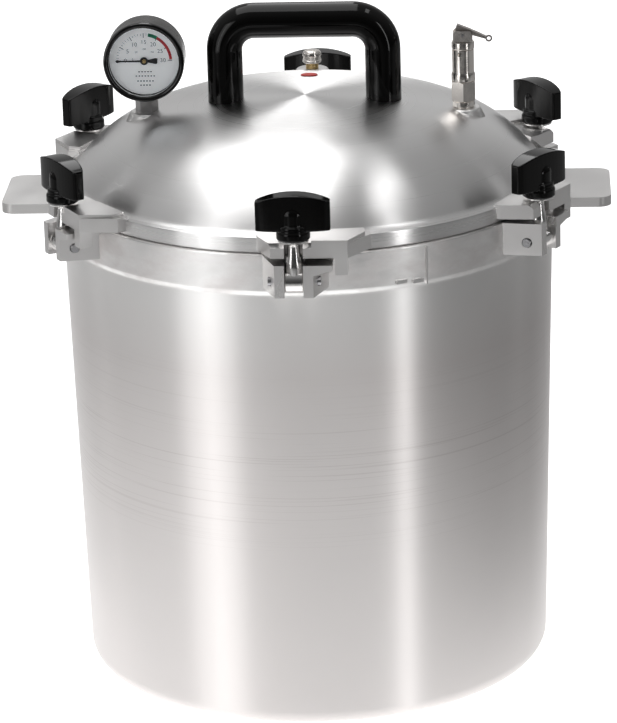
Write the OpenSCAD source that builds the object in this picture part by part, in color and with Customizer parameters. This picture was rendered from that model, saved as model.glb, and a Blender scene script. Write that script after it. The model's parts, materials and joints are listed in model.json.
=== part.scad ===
// Pressure canner: tapered pot, domed lid and six swing-bolt clamps.
// Origin at the centre of the base, +Z up, -Y is the front.

/* [Pot] */
// Outer radius of the collar at the rim
pot_r = 174; // [160:0.5:190]
// Outer radius of the wall at the base
base_r = 166; // [155:0.5:170]
// Height of the rim
pot_h = 347.5; // [340:0.5:355]
// Height of the polished collar below the rim
collar_h = 30; // [26:1:40]
// Wall thickness
wall = 5; // [4:0.5:6]
// Floor thickness
floor_t = 6; // [5:0.5:10]
// Radius of the bottom corner
corner_r = 12; // [10:0.5:14]

/* [Side handles] */
// Reach of the side handle plates from the axis
side_handle_reach = 214; // [205:1:225]
// Width of a side handle plate
side_handle_w = 74; // [60:1:80]
// Thickness of a side handle plate
side_handle_t = 7; // [5:0.5:8]

/* [Lid] */
// Gap between the rim and the flange
lid_gap = 0.3; // [0.2:0.1:0.5]
// Outer radius of the flange
flange_r = 172; // [171:0.5:173]
// Height of the flange's face
flange_h = 11.2; // [10:0.1:12]
// Height of the crown above the flange
dome_h = 52.5; // [52:0.1:53]
// Wall thickness of the dome
lid_t = 6; // [5:0.5:7]
// Depth of the spigot inside the rim
spigot_h = 6; // [5:0.5:6]

/* [Clamps] */
// Radius of the circle through the clamp bolts
bolt_circle = 188.4; // [187:0.1:190]
// Height of the bolts' hinge pins
pin_z = 334; // [333:0.5:335]
// Diameter of the bolt shank
bolt_d = 8; // [7:0.5:8]
// Width of the slots that the bolts stand in
slot_w = 12.6; // [12.6:0.1:13]
// Gap between washer and lug with the nut backed off
washer_gap = 1.2; // [1.2:0.1:1.6]
// Span of a wing nut
wing_span = 50; // [40:1:54]

/* [Top handle] */
// Length of the handle outside its legs
handle_l = 136; // [130:1:140]
// Height of the handle's top above the base
handle_top = 478; // [470:1:485]
// Thickness of the handle's round bar
handle_d = 25; // [22:0.5:26]

/* [Gauge] */
// Distance of the gauge and of the relief valve from the axis
fitting_r = 111.5; // [110:0.5:114]
// Outer radius of the gauge case
gauge_r = 28.4; // [26:0.2:29]
// Height of the gauge's centre above the base
gauge_z = 439.5; // [438:0.5:442]

/* [Hidden] */
$fn = 64;
eps = 0.02;              // overlap that joins pieces of one solid
fit = 0.05;              // radial clearance of a running fit
CLAMP_ANGLES = [-90, -30, 30, 90, 150, 210];
WING_TURNS = [0, -10, 6, 0, -5, 4];   // each wing nut stopped at its own angle

// Pot
inner_top_r = pot_r - wall - 1;
inner_base_r = base_r - wall;
body_top_r = pot_r - 1;
collar_z = pot_h - collar_h;
corner_in = 8;

// Lid
flange_z = pot_h + lid_gap;
land_z = flange_z + flange_h;
crown_z = land_z + dome_h;
crown_r = 572;
shoulder_at = 100;                       // radius where the crown turns into the shoulder
shoulder_r = 100;
crown_tilt = asin(shoulder_at / crown_r);
crown_cz = crown_z - crown_r;
shoulder_cx = (crown_r - shoulder_r) * sin(crown_tilt);
shoulder_cz = crown_cz + (crown_r - shoulder_r) * cos(crown_tilt);
fillet_r = 8;
fillet_dz = land_z + fillet_r - shoulder_cz;
fillet_cx = shoulder_cx + sqrt(pow(shoulder_r + fillet_r, 2) - pow(fillet_dz, 2));
fillet_a = atan2(fillet_dz, fillet_cx - shoulder_cx);
spigot_r = inner_top_r - 0.6;
spigot_in = 160;

// Clamps: local x points outward, y along the rim
slot_half = slot_w / 2;
lug_out = bolt_circle + 4.6;
lug_z = flange_z + 3.2;
lug_top = 361;
lug_rise = 2.3;                          // the locking end of the lug is thicker
lug_bevel = 3;                           // on the outer edge, where the washer swings past
lug_left = 15.3;
lug_right = 36;
tab_t = 8.5;
tab_h = 11.8;
bracket_out = bolt_circle + 9.6;
bracket_z = 325;
bracket_half = 13;
bracket_root = 22;
ledge_end = 26;
ledge_t = 7;
pin_d = 6;
pin_half = 17.8;
eye_d = 16;
eye_w = 12;
neck_r = 6;                              // the bolt flares from its shank to this
neck_z = 345;
neck_h = 13;
bolt_top = 386.5;
washer_z = lug_top + washer_gap;
washer_t = 1.6;
washer_r = 10.5;
nut_z = washer_z + washer_t + 0.2;
nut_collar_h = 6;
nut_collar_r = 11.4;
nut_lip_h = 9;
nut_lip_r = 10.4;
nut_hub_r = 8.7;
nut_hub_h = 23;
wing_top = 394.6;
wing_crown = 70;                         // radius along the top of the wings
wing_mid_t = 14.4;
wing_end_t = 5.8;
insert_r = 6.5;
insert_h = 18;

// Top handle
handle_foot_x = (handle_l - handle_d) / 2;
handle_bend = 21;                        // radius of the bar's centre line at its bends
screw_d = 6;

// Fittings
boss_r = 12;
boss_z = 401.5;
gauge_front = -14;
gauge_back = 15;
dial_r = 24.6;
gauge_wall = 1.6;
vent_y = 110;
plug_y = 66;
plug_r = 4;
valve_z = boss_z;
lever_z = valve_z + 52.5;
lever_slope = 21;

// Points of an arc about c from angle a to b, in n steps
function arc(c, r, a, b, n) = [for (i = [0:n]) c + r * [cos(a + (b - a) * i / n), sin(a + (b - a) * i / n)]];
// Height of the dome's outer surface at distance r from the axis
function dome_z(r) = r < shoulder_at
    ? crown_cz + sqrt(crown_r * crown_r - r * r)
    : shoulder_cz + sqrt(shoulder_r * shoulder_r - pow(r - shoulder_cx, 2));

module at_clamp(k) {
    rotate([0, 0, CLAMP_ANGLES[k - 1]]) children();
}

// The overpressure plug's seat: on the dome, square to it
module at_plug() {
    translate([0, plug_y, dome_z(plug_y)]) rotate([-asin(plug_y / crown_r), 0, 0]) children();
}

module ring(r_out, r_in, h) {
    difference() {
        cylinder(r = r_out, h = h);
        translate([0, 0, -1]) cylinder(r = r_in, h = h + 2);
    }
}

// Plate with rounded corners, centred on the origin
module round_plate(l, w, h, r) {
    linear_extrude(h) {
        square([l, w - 2 * r], center = true);
        square([l - 2 * r, w], center = true);
        for (sx = [-1, 1], sy = [-1, 1]) translate([sx * (l / 2 - r), sy * (w / 2 - r)]) circle(r);
    }
}

// ---- Pot ----

module pot_shell() {
    rotate_extrude($fn = 180) polygon(concat(
        [[0, 0]],
        arc([base_r - corner_r, corner_r], corner_r, -90, 0, 6),
        [[body_top_r - 0.6, collar_z - 0.5], [pot_r, collar_z], [pot_r, pot_h - 1], [pot_r - 1, pot_h]],
        [[inner_top_r, pot_h]],
        arc([inner_base_r - corner_in, floor_t + corner_in], corner_in, 0, -90, 4),
        [[0, floor_t]]
    ));
}

// Forked bracket for one swing bolt, with the ledge that the lid's tab locks beside
module bolt_bracket() {
    root_x = body_top_r - 3;
    translate([0, 0, bracket_z]) linear_extrude(pot_h - bracket_z) polygon([
        [root_x, -bracket_root], [root_x + 4, -bracket_root], [bracket_out, -bracket_half],
        [bracket_out, bracket_half], [root_x + 4, bracket_root], [root_x, bracket_root]
    ]);
    translate([root_x, 0, pot_h]) rotate([0, 90, 0])
        linear_extrude(bracket_out - root_x) polygon([
            [0, 0], [0, ledge_end], [ledge_t - 3, ledge_end], [ledge_t, bracket_half], [ledge_t, 0]
        ]);
}

module bracket_cuts() {
    slot_x = bolt_circle - eye_d / 2 - 1;
    translate([slot_x, -slot_half, bracket_z - 1]) cube([bracket_out - slot_x + 1, slot_w, pot_h - bracket_z + 2]);
    translate([bolt_circle, 0, pin_z]) rotate([90, 0, 0])
        cylinder(d = pin_d + 0.04, h = 2 * bracket_root, center = true);
}

module side_handle() {
    inner_x = body_top_r - 3;
    l = side_handle_reach - inner_x;
    corner = 9;
    translate([inner_x + l / 2 - corner / 2, 0, pot_h - 3 - side_handle_t]) difference() {
        round_plate(l + corner, side_handle_w, side_handle_t, corner);
        translate([-l - corner, -side_handle_w, -1]) cube([l / 2 + corner, 2 * side_handle_w, side_handle_t + 2]);
    }
}

module pot_body() {
    color("silver") difference() {
        union() {
            pot_shell();
            for (k = [1:6]) at_clamp(k) bolt_bracket();
            for (a = [0, 180]) rotate([0, 0, a]) difference() {
                side_handle();
                translate([0, 0, pot_h - 20]) cylinder(r = inner_top_r + 1, h = 30);
            }
        }
        for (k = [1:6]) at_clamp(k) bracket_cuts();
    }
}

module hinge_pins() {
    color("dimgray") for (k = [1:6]) at_clamp(k)
        translate([bolt_circle, 0, pin_z]) rotate([90, 0, 0]) cylinder(d = pin_d, h = 2 * pin_half, center = true);
}

// Perforated rack on three feet, loose on the floor
module rack() {
    rack_r = 152;
    rack_z = floor_t + 0.3;
    foot_h = 12;
    hole_d = 16;
    color("silver") {
        difference() {
            translate([0, 0, rack_z + foot_h]) cylinder(r = rack_r, h = 2);
            for (row = [1:4]) for (i = [0:6 * row - 1])
                rotate([0, 0, i * 60 / row + row * 10]) translate([row * 33, 0, rack_z])
                    cylinder(d = hole_d, h = foot_h + 4, $fn = 24);
        }
        for (a = [0, 120, 240]) rotate([0, 0, a + 30]) translate([rack_r - 10, 0, rack_z])
            cylinder(r = 5, h = foot_h + eps, $fn = 24);
    }
}

// ---- Clamps ----

module swing_bolt(k) {
    color("lightgray") at_clamp(k) translate([bolt_circle, 0, 0]) difference() {
        union() {
            translate([0, 0, pin_z]) rotate([90, 0, 0]) cylinder(d = eye_d, h = eye_w, center = true);
            translate([0, 0, pin_z]) cylinder(r = neck_r, h = neck_z - pin_z);
            translate([0, 0, neck_z - eps]) cylinder(r1 = neck_r, r2 = bolt_d / 2, h = neck_h);
            translate([0, 0, neck_z]) cylinder(d = bolt_d, h = bolt_top - neck_z);
        }
        translate([0, 0, pin_z]) rotate([90, 0, 0]) cylinder(r = pin_d / 2 + fit, h = eye_w + 2, center = true);
    }
}

module washer(k) {
    color("whitesmoke") at_clamp(k) translate([bolt_circle, 0, washer_z])
        ring(washer_r, bolt_d / 2 + fit, washer_t);
}

// Wings: lens-shaped in plan, crowned along the top
module nut_wings() {
    wing_z = nut_z + nut_collar_h - eps;
    half = wing_span / 2;
    intersection() {
        translate([0, 0, wing_z]) linear_extrude(wing_top - wing_z) polygon([
            [-wing_end_t / 2, -half], [wing_end_t / 2, -half],
            [wing_mid_t / 2, -half / 3], [wing_mid_t / 2, half / 3],
            [wing_end_t / 2, half], [-wing_end_t / 2, half],
            [-wing_mid_t / 2, half / 3], [-wing_mid_t / 2, -half / 3]
        ]);
        translate([0, 0, wing_top - wing_crown]) rotate([0, 90, 0])
            cylinder(r = wing_crown, h = 2 * wing_mid_t, center = true, $fn = 180);
    }
}

module wing_nut(k) {
    color([0.06, 0.06, 0.06]) at_clamp(k) translate([bolt_circle, 0, 0]) rotate([0, 0, WING_TURNS[k - 1]])
        difference() {
            union() {
                translate([0, 0, nut_z]) cylinder(r = nut_collar_r, h = nut_collar_h);
                translate([0, 0, nut_z]) cylinder(r = nut_lip_r, h = nut_lip_h);
                translate([0, 0, nut_z]) cylinder(r = nut_hub_r, h = nut_hub_h);
                nut_wings();
            }
            translate([0, 0, nut_z - 1]) cylinder(r = insert_r, h = insert_h + 1);
            translate([0, 0, nut_z - 1]) cylinder(r = bolt_d / 2 + 0.6, h = bolt_top - nut_z + 3);
        }
}

module nut_insert(k) {
    color("goldenrod") at_clamp(k) translate([bolt_circle, 0, nut_z]) ring(insert_r, bolt_d / 2 + fit, insert_h);
}

// ---- Lid ----

module lid_shell() {
    rotate_extrude($fn = 180) polygon(concat(
        arc([0, crown_cz], crown_r, 90, 90 - crown_tilt, 8),
        arc([shoulder_cx, shoulder_cz], shoulder_r, 90 - crown_tilt, fillet_a, 10),
        arc([fillet_cx, land_z + fillet_r], fillet_r, 180 + fillet_a, 270, 4),
        [[flange_r - 0.6, land_z], [flange_r, land_z - 0.6], [flange_r, flange_z + 0.8]],
        [[flange_r - 0.8, flange_z], [spigot_r, flange_z], [spigot_r - 0.5, flange_z - spigot_h]],
        [[spigot_in + 1, flange_z - spigot_h], [spigot_in, flange_z + 4]],
        arc([shoulder_cx, shoulder_cz], shoulder_r - lid_t, fillet_a + 4, 90 - crown_tilt, 8),
        arc([0, crown_cz], crown_r - lid_t, 90 - crown_tilt, 90, 6)
    ));
}

// Slotted lug, thicker at its locking end, with the tab that hangs beside the bracket's ledge
module clamp_lug() {
    root_x = spigot_in + 8;
    translate([0, 0, lug_z]) linear_extrude(lug_top - lug_z) polygon([
        [root_x, -26], [lug_out - 19, -25], [lug_out, -lug_left],
        [lug_out, lug_right], [lug_out - 22, 51], [root_x - 6, 50]
    ]);
    translate([0, 0, lug_top - eps]) linear_extrude(lug_rise) polygon([
        [root_x, washer_r + 1.5], [lug_out, washer_r + 1.5], [lug_out, lug_right],
        [lug_out - 20, 47], [root_x - 4, 46]
    ]);
    translate([bolt_circle - 4.4, lug_right - tab_t, lug_z - tab_h]) cube([9, tab_t, tab_h + eps]);
}

// What is cut from a lug: the bolt's slot, and the bevel that lets the washer swing clear
module lug_cuts() {
    translate([bolt_circle, 0, lug_z - 1]) cylinder(d = slot_w, h = 20);
    translate([bolt_circle, -slot_half, lug_z - 1]) cube([20, slot_w, 20]);
    translate([lug_out - lug_bevel, washer_r + 1.5, lug_top]) rotate([90, 0, 0])
        linear_extrude(2 * washer_r + 10) polygon([[0, 0], [lug_bevel + 1, -lug_bevel - 1], [lug_bevel + 1, 1]]);
}

module fitting_bosses() {
    boss_base = boss_z - 9;
    for (p = [[-fitting_r, 0], [fitting_r, 0], [0, vent_y]])
        translate([p[0], p[1], boss_base]) cylinder(r = boss_r, h = boss_z - boss_base);
}

module lid() {
    color("gainsboro") difference() {
        union() {
            lid_shell();
            for (k = [1:6]) at_clamp(k) clamp_lug();
            fitting_bosses();
        }
        for (k = [1:6]) at_clamp(k) lug_cuts();
        for (s = [-1, 1]) translate([s * handle_foot_x, 0, 380]) cylinder(d = screw_d + 1, h = 60);
        for (s = [-1, 1]) translate([s * fitting_r, 0, 380]) cylinder(r = 5, h = 60);
        translate([0, vent_y, 380]) cylinder(r = 3.5, h = 60);
        at_plug() cylinder(r = plug_r + fit, h = 30, center = true);
    }
}

// Round bar bent into a D: two legs, two bends and a grip
module handle_bar() {
    foot_z = 400;
    grip_z = handle_top - handle_d / 2;
    grip_half = handle_foot_x - handle_bend;
    translate([-grip_half - eps, 0, grip_z]) rotate([0, 90, 0]) cylinder(d = handle_d, h = 2 * (grip_half + eps));
    for (side = [0, 1]) mirror([side, 0, 0]) {
        translate([handle_foot_x, 0, foot_z]) cylinder(d = handle_d, h = grip_z - handle_bend - foot_z + eps);
        translate([grip_half, 0, grip_z - handle_bend]) rotate([90, 0, 0])
            rotate_extrude(angle = 90) translate([handle_bend, 0]) circle(d = handle_d - 2 * eps);
    }
}

module top_handle() {
    seat = 0.1;
    color([0.05, 0.05, 0.05]) difference() {
        handle_bar();
        rotate_extrude($fn = 180) polygon(concat(
            [[0, 300]], [[140, 300]],
            arc([shoulder_cx, shoulder_cz], shoulder_r + seat, 60, 90 - crown_tilt, 3),
            arc([0, crown_cz], crown_r + seat, 90 - crown_tilt, 90, 8)
        ));
        for (s = [-1, 1]) translate([s * handle_foot_x, 0, 380]) cylinder(d = screw_d, h = 55);
    }
}

module handle_screws() {
    head_z = dome_z(handle_foot_x) - lid_t - 4;
    color("silver") for (s = [-1, 1]) translate([s * handle_foot_x, 0, head_z]) {
        cylinder(r = 6, h = 3);
        cylinder(d = screw_d, h = 36);
    }
}

// ---- Pressure gauge: axis along Y, face to the front ----

module gauge_axis(y) {
    translate([-fitting_r, y, gauge_z]) rotate([-90, 0, 0]) children();
}

module gauge_stem() {
    color("silver") translate([-fitting_r, 0, 0]) difference() {
        union() {
            translate([0, 0, boss_z - 12]) cylinder(r = 5 - eps, h = 14);
            translate([0, 0, boss_z]) cylinder(d = 16.2, h = 8, $fn = 6);
            translate([0, 0, boss_z + 7]) cylinder(r = 4.5, h = gauge_z - gauge_r - boss_z - 7 + gauge_wall + 6);
        }
        translate([0, 0, boss_z - 13]) cylinder(r = 1.5, h = 60);
    }
}

module gauge_case() {
    color([0.08, 0.08, 0.08]) difference() {
        gauge_axis(gauge_front + 3) cylinder(r = gauge_r - 0.6, h = gauge_back - gauge_front - 3);
        gauge_axis(gauge_front + 2) cylinder(r = gauge_r - 0.6 - gauge_wall, h = gauge_back - gauge_front - 2 - gauge_wall);
        translate([-fitting_r, 0, gauge_z - gauge_r - 2]) cylinder(r = 4.5 + eps, h = 12);
    }
}

module gauge_bezel() {
    color([0.04, 0.04, 0.04]) difference() {
        gauge_axis(gauge_front) cylinder(r = gauge_r, h = 5);
        gauge_axis(gauge_front - 1) cylinder(r = dial_r, h = 20);
        gauge_axis(gauge_front + 2.9) cylinder(r = gauge_r - 0.6 + eps, h = 5);
    }
}

module gauge_lens() {
    color([0.8, 0.9, 1, 0.3]) gauge_axis(gauge_front + 1.2) cylinder(r = dial_r - eps, h = 1.4);
}

module gauge_dial() {
    color("white") difference() {
        gauge_axis(gauge_front + 7) cylinder(r = dial_r, h = 0.8);
        gauge_axis(gauge_front + 6) cylinder(r = 1.2, h = 3);
    }
}

// C-shaped spring tube that uncurls with pressure
module bourdon_tube() {
    color("goldenrod") translate([-fitting_r, 0, gauge_z]) rotate([90, 0, 0])
        rotate([0, 0, -80]) rotate_extrude(angle = 250) translate([19, 0]) square([2.5, 7], center = true);
}

module gauge_movement() {
    color("goldenrod") {
        gauge_axis(gauge_front + 9) difference() {
            translate([-8, -9, 0]) cube([16, 15, 1.5]);
            translate([0, 0, -1]) cylinder(r = 1 + fit, h = 4);
        }
        gauge_axis(gauge_front + 17) translate([-8, -9, 0]) cube([16, 15, 1.5]);
        for (s = [-1, 1]) gauge_axis(gauge_front + 10) translate([s * 6, -7, 0]) cylinder(r = 1.5, h = 8);
        gauge_axis(gauge_front + 10) translate([0, 5, 0]) cylinder(r = 1, h = 8);
        gauge_axis(gauge_front + 13) intersection() {
            translate([0, 5, 0]) ring(7, 4, 1.5);
            translate([-7, 1.4, 0]) cube([14, 12, 1.5]);
        }
        gauge_axis(gauge_front + 13) translate([-1, 5, 0]) cube([2, 6, 1.5]);
    }
}

module gauge_pointer() {
    color("black") {
        gauge_axis(gauge_front + 5) cylinder(r = 2.6, h = 1.4);
        gauge_axis(gauge_front + 5.4) linear_extrude(0.6) polygon([
            [-20, 0.4], [-20, -0.4], [0, -1.4], [9, -2.2], [9, 2.2], [0, 1.4]
        ]);
        gauge_axis(gauge_front + 6) cylinder(r = 1, h = 9.2);
    }
}

// ---- Relief valve ----

module at_valve(z) {
    translate([fitting_r, 0, z]) children();
}

module relief_valve_body() {
    color("lightgray") difference() {
        union() {
            at_valve(boss_z - 12) cylinder(r = 5 - eps, h = 13);
            at_valve(valve_z) cylinder(r = 7.8, h = 5);
            at_valve(valve_z + 5) cylinder(d = 19, h = 14, $fn = 6);
            at_valve(valve_z + 19) cylinder(r = 8.4, h = 6);
            at_valve(valve_z + 25) cylinder(r = 7.7, h = 17);
        }
        at_valve(valve_z - 13) cylinder(r = 2.4, h = 30);
        at_valve(valve_z + 12) cylinder(r = 6, h = 31);
        for (a = [45, 225]) at_valve(valve_z + 38) rotate([0, 90, a]) translate([0, 0, 4]) cylinder(r = 1.3, h = 6);
    }
}

module relief_valve_cap() {
    color("silver") difference() {
        union() {
            at_valve(valve_z + 42) cylinder(r = 8.1, h = 5);
            for (s = [-1, 1]) at_valve(valve_z + 46) translate([-6.8, s * 3.9 - 1.2, 0]) cube([13.6, 2.4, 9.5]);
        }
        at_valve(valve_z + 40) cylinder(r = 2.5 + fit, h = 12);
        at_valve(lever_z) rotate([90, 0, 0]) cylinder(r = 1.02, h = 20, center = true);
    }
}

module valve_stem() {
    color("goldenrod") {
        at_valve(valve_z + 17.2) cylinder(r = 5.2, h = 4);
        at_valve(valve_z + 20) cylinder(r = 2.5, h = 28);
    }
}

// Outer shape of the coil spring between the disc and the cap
module valve_spring() {
    color("gray") at_valve(valve_z + 21.4) ring(4.6, 3.2, 20.2);
}

// Test lever, sloping down to an eye at its free end
module lift_lever() {
    eye = [18.3, 3.1];
    color("silver") at_valve(lever_z) rotate([90, 0, 0]) rotate([0, 0, -lever_slope]) difference() {
        union() {
            linear_extrude(4.8, center = true)
                polygon([[-6, 1.6], [-6, 4.6], [16.6, 4.2], [16.6, 2], [2.2, 1.4], [2, -2], [-2, -2], [-2.2, 1.4]]);
            translate(eye) cylinder(r = 2.4, h = 3, center = true);
        }
        cylinder(r = 1 + fit, h = 20, center = true);
        translate(eye) cylinder(r = 1.2, h = 20, center = true);
    }
}

module lever_pin() {
    color("dimgray") at_valve(lever_z) rotate([90, 0, 0]) cylinder(r = 1, h = 11, center = true);
}

// ---- Vent and plug ----

module vent_pipe() {
    color("goldenrod") translate([0, vent_y, 0]) difference() {
        union() {
            translate([0, 0, boss_z - 12]) cylinder(r = 3.5 - eps, h = 14);
            translate([0, 0, boss_z]) cylinder(r = 4.6, h = 4);
            translate([0, 0, boss_z + 3]) cylinder(r = 2.6, h = 9);
        }
        translate([0, 0, boss_z - 13]) cylinder(r = 1.3, h = 40);
    }
}

module regulator_weight() {
    weight_z = boss_z + 4.6;
    weight_r = 6.8;
    color("lightgray") translate([0, vent_y, 0]) difference() {
        union() {
            translate([0, 0, weight_z]) cylinder(r = weight_r, h = 7);
            translate([0, 0, weight_z + 7 - eps]) cylinder(r1 = weight_r, r2 = weight_r - 1.6, h = 2.2);
        }
        translate([0, 0, weight_z - 1]) cylinder(r = 2.6 + 0.1, h = 9);
    }
}

// Soft plug with a thin head outside the lid
module overpressure_plug() {
    head_gap = 0.3;
    head_h = 1.4;
    stem_inside = 3;
    color("firebrick") at_plug() {
        translate([0, 0, head_gap]) cylinder(r = 7.2, h = head_h);
        translate([0, 0, -lid_t - stem_inside]) cylinder(r = plug_r, h = lid_t + stem_inside + head_gap + eps);
    }
}

pot_body();
hinge_pins();
rack();
for (k = [1:6]) swing_bolt(k);
for (k = [1:6]) washer(k);
for (k = [1:6]) wing_nut(k);
for (k = [1:6]) nut_insert(k);
lid();
top_handle();
handle_screws();
gauge_stem();
gauge_case();
gauge_bezel();
gauge_lens();
gauge_dial();
bourdon_tube();
gauge_movement();
gauge_pointer();
relief_valve_body();
relief_valve_cap();
valve_stem();
valve_spring();
lift_lever();
lever_pin();
vent_pipe();
regulator_weight();
overpressure_plug();
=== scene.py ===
"""Looks of the pressure canner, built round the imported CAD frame.

Lengths are metres in the frame's own axes: origin at the centre of the base, +Z up, -Y to the front.
"""

import json
import math

import bmesh
import bpy
import numpy as np
from mathutils import Matrix, Vector


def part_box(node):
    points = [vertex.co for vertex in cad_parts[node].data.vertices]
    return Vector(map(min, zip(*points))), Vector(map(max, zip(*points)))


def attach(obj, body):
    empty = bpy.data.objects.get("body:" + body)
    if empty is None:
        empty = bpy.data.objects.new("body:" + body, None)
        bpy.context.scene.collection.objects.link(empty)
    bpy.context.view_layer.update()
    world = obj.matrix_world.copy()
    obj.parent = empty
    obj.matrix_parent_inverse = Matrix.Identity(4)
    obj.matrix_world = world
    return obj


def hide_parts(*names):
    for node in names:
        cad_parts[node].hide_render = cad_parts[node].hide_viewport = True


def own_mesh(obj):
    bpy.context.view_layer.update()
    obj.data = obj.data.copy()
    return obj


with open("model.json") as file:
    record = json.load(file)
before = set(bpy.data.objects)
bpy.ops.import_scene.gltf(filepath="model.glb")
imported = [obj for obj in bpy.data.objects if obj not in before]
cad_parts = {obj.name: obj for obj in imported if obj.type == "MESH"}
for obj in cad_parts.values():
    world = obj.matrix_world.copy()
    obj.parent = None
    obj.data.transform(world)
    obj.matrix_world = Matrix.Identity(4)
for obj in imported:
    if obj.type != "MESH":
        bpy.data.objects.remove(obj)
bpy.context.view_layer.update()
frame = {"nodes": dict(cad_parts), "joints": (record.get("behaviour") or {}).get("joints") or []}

MM = 0.001
CLAMPS = range(1, 7)


# ---------------------------------------------------------------- places, from the frame


def joint(name):
    """The record's joint of that name."""
    return next(j for j in frame["joints"] if j["name"] == name)


def low(node):
    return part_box(node)[0]


def high(node):
    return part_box(node)[1]


def middle(node):
    return (low(node) + high(node)) / 2


RIM_Z = high("pot_body").z
POT_R = 174 * MM
BASE_R = 166 * MM
CROWN_Z = RIM_Z + 64 * MM
GAUGE_X, GAUGE_Z = middle("gauge_bezel").x, middle("gauge_bezel").z
VALVE_X = middle("relief_valve_body").x
VENT_Y = middle("vent_pipe").y
BOSS_Z = low("gauge_stem").z + 12 * MM        # top of the bosses that the fittings are screwed into


def clamp_angle(k):
    """Where a clamp stands round the pot, in radians from +X."""
    x, y, _ = joint(f"bolt_swing_{k}")["pos_m"]
    return math.atan2(y, x)


BOLT_CIRCLE = math.hypot(*joint("bolt_swing_1")["pos_m"][:2])
PIN_Z = joint("bolt_swing_1")["pos_m"][2]


def at_clamp(k):
    """Matrix of a clamp's own axes: x points outward, y runs along the rim, the bolt is on the z axis."""
    turn = Matrix.Rotation(clamp_angle(k), 4, "Z")
    return turn @ Matrix.Translation((BOLT_CIRCLE, 0, 0))


# ---------------------------------------------------------------- mesh helpers


def arc(cx, cy, r, start, end, steps):
    """Points of an arc about (cx, cy), with its angles in degrees."""
    angles = np.radians(np.linspace(start, end, steps + 1))
    return [(cx + r * math.cos(a), cy + r * math.sin(a)) for a in angles]


def scaled(points):
    """Points from millimetres to metres."""
    return [tuple(MM * c for c in p) for p in points]


def rectangle(x0, x1, y0, y1):
    """Outline of a rectangle, from millimetres to metres."""
    return scaled([(x0, y0), (x1, y0), (x1, y1), (x0, y1)])


def to_object(name, bm, matrix=None, sharp=35):
    """Makes a smooth-shaded object of bm, with edges sharper than that angle kept hard."""
    if matrix is not None:
        bm.transform(matrix)
    obj = placed(name, bpy.data.meshes.new(name))
    shade(obj, bm, sharp)
    return obj


def placed(name, mesh, matrix=None):
    """An object of mesh, linked to the scene."""
    obj = bpy.data.objects.new(name, mesh)
    bpy.context.scene.collection.objects.link(obj)
    if matrix is not None:
        obj.matrix_world = matrix
    return obj


def shade(obj, bm, sharp):
    """Gives bm to obj as its mesh: smooth, with hard edges, and flat faces flat beside rounded ones."""
    bmesh.ops.remove_doubles(bm, verts=bm.verts, dist=1e-7)
    bmesh.ops.recalc_face_normals(bm, faces=bm.faces)
    limit = math.radians(sharp)
    for face in bm.faces:
        face.smooth = True
    for edge in bm.edges:
        edge.smooth = not (len(edge.link_faces) == 2 and edge.calc_face_angle(0) > limit)
    bm.to_mesh(obj.data)
    bm.free()
    weighted = obj.modifiers.new("normals", "WEIGHTED_NORMAL")
    weighted.keep_sharp = True
    bake(obj)


def solid_of(obj):
    """A bmesh of obj's mesh, without its stored normals. obj is removed."""
    stored = obj.data.attributes.get("custom_normal")
    if stored:
        obj.data.attributes.remove(stored)
    bm = bmesh.new()
    bm.from_mesh(obj.data)
    bpy.data.objects.remove(obj)
    return bm


def lathe(profile, segments=192, closed=True):
    """A bmesh turned about Z from (r, z) points; closed joins the last point to the first."""
    bm = bmesh.new()
    rings = []
    for r, z in profile:
        if r < 1e-7:
            rings.append([bm.verts.new((0, 0, z))])
            continue
        angles = [2 * math.pi * i / segments for i in range(segments)]
        rings.append([bm.verts.new((r * math.cos(a), r * math.sin(a), z)) for a in angles])
    following = rings[1:] + rings[:1] if closed else rings[1:]
    for a, b in zip(rings, following):
        if len(a) == 1 and len(b) == 1:
            continue
        for i in range(segments):
            j = (i + 1) % segments
            loop = [a[i % len(a)], b[i % len(b)], b[j % len(b)], a[j % len(a)]]
            bm.faces.new(list(dict.fromkeys(loop)))
    return bm


def skin(bm, rings):
    """Faces between rings of as many points each, with both ends closed."""
    around = len(rings[0])
    for a, b in zip(rings, rings[1:]):
        for i in range(around):
            j = (i + 1) % around
            bm.faces.new((a[i], a[j], b[j], b[i]))
    bm.faces.new(rings[0][::-1])
    bm.faces.new(rings[-1])


def prism(outline, z0, z1, bevel=0.0, steps=2):
    """A bmesh extruded from (x, y) points between two heights, with its edges rounded by bevel."""
    bm = bmesh.new()
    bottom = [bm.verts.new((x, y, z0)) for x, y in outline]
    top = [bm.verts.new((x, y, z1)) for x, y in outline]
    bm.faces.new(bottom[::-1])
    bm.faces.new(top)
    for i in range(len(outline)):
        j = (i + 1) % len(outline)
        bm.faces.new((bottom[i], bottom[j], top[j], top[i]))
    if bevel:
        edges = [e for e in bm.edges if e.calc_face_angle(0) > math.radians(20)]
        bmesh.ops.bevel(
            bm, geom=edges, offset=bevel, segments=steps, affect="EDGES", profile=0.5, clamp_overlap=True
        )
    return bm


def combined(*parts):
    """One bmesh of several, which are freed."""
    bm = bmesh.new()
    for part in parts:
        mesh = bpy.data.meshes.new("part")
        part.to_mesh(mesh)
        bm.from_mesh(mesh)
        bpy.data.meshes.remove(mesh)
        part.free()
    return bm


def moved(bm, matrix):
    """bm itself, moved by matrix."""
    bm.transform(matrix)
    return bm


def cut(bm, *tools, keep=False):
    """bm without the tools, or with keep only what lies inside them."""
    body = to_object("body", bm)
    cutters = [to_object("tool", tool) for tool in tools]
    for cutter in cutters:
        mod = body.modifiers.new("cut", "BOOLEAN")
        mod.operation = "INTERSECT" if keep else "DIFFERENCE"
        mod.solver = "EXACT"
        mod.object = cutter
    bake(body)
    for cutter in cutters:
        bpy.data.objects.remove(cutter)
    return solid_of(body)


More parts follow.
